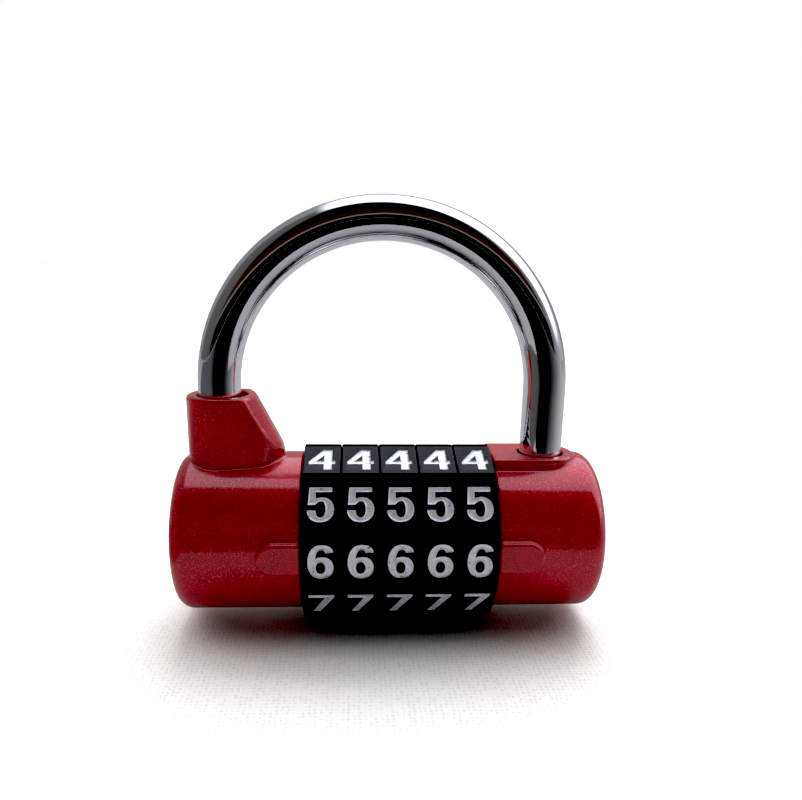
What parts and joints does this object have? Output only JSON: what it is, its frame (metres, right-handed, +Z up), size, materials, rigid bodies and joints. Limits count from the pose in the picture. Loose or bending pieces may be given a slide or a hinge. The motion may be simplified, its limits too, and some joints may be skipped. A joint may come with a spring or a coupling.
{
  "type": "combination padlock",
  "caption": "Padlock with a horizontal cylindrical red body, ten-sided number dials in the middle and a wide U-shaped chromed shackle that lifts out of a toe hole.",
  "frame": {"origin": "under the middle of the lock, on the ground it stands on", "axes": "+X along the body from the captive leg to the toe, -Y towards the reader of the dials, +Z up the shackle"},
  "size_m": [0.08, 0.0328, 0.08],
  "materials": {
    "red_enamel": "gloss, with fine metallic flake",
    "black_enamel": "semi-gloss",
    "silver_paint": "satin metallic",
    "chrome": "mirror",
    "steel": "satin",
    "brass": "satin"
  },
  "bodies": {
    "body": {"left_housing": "red_enamel", "right_housing": "red_enamel", "end_plug": "red_enamel", "core_tube": "steel", "tube_pins": "steel", "thrust_washers": "steel", "detent_leaf": "steel", "spindle_spring": "steel", "shackle_pin": "steel"},
    "dial_1": {"dial_1": "black_enamel", "numerals_1": "silver_paint", "code_ring_1": "brass"},
    "dial_2": {"dial_2": "black_enamel", "numerals_2": "silver_paint", "code_ring_2": "brass"},
    "dial_3": {"dial_3": "black_enamel", "numerals_3": "silver_paint", "code_ring_3": "brass"},
    "dial_4": {"dial_4": "black_enamel", "numerals_4": "silver_paint", "code_ring_4": "brass"},
    "dial_5": {"dial_5": "black_enamel", "numerals_5": "silver_paint", "code_ring_5": "brass"},
    "spindle": {"spindle": "steel"},
    "shackle": {"shackle": "chrome"}
  },
  "joints": [
    {"name": "dial_1_turn", "type": "hinge", "parent": "body", "child": "dial_1", "pos_m": [-0.01279, 0, 0.017], "axis": [1, 0, 0], "continuous": true},
    {"name": "dial_2_turn", "type": "hinge", "parent": "body", "child": "dial_2", "pos_m": [-0.00567, 0, 0.017], "axis": [1, 0, 0], "continuous": true},
    {"name": "dial_3_turn", "type": "hinge", "parent": "body", "child": "dial_3", "pos_m": [0.00145, 0, 0.017], "axis": [1, 0, 0], "continuous": true},
    {"name": "dial_4_turn", "type": "hinge", "parent": "body", "child": "dial_4", "pos_m": [0.00857, 0, 0.017], "axis": [1, 0, 0], "continuous": true},
    {"name": "dial_5_turn", "type": "hinge", "parent": "body", "child": "dial_5", "pos_m": [0.01569, 0, 0.017], "axis": [1, 0, 0], "continuous": true},
    {"name": "spindle_slide", "type": "slide", "parent": "body", "child": "spindle", "axis": [-1, 0, 0], "range_m": [-0.0026, 0]},
    {"name": "shackle_lift", "type": "slide", "parent": "body", "child": "shackle", "axis": [0, 0, 1], "range_m": [0, 0.023]}
  ]
}
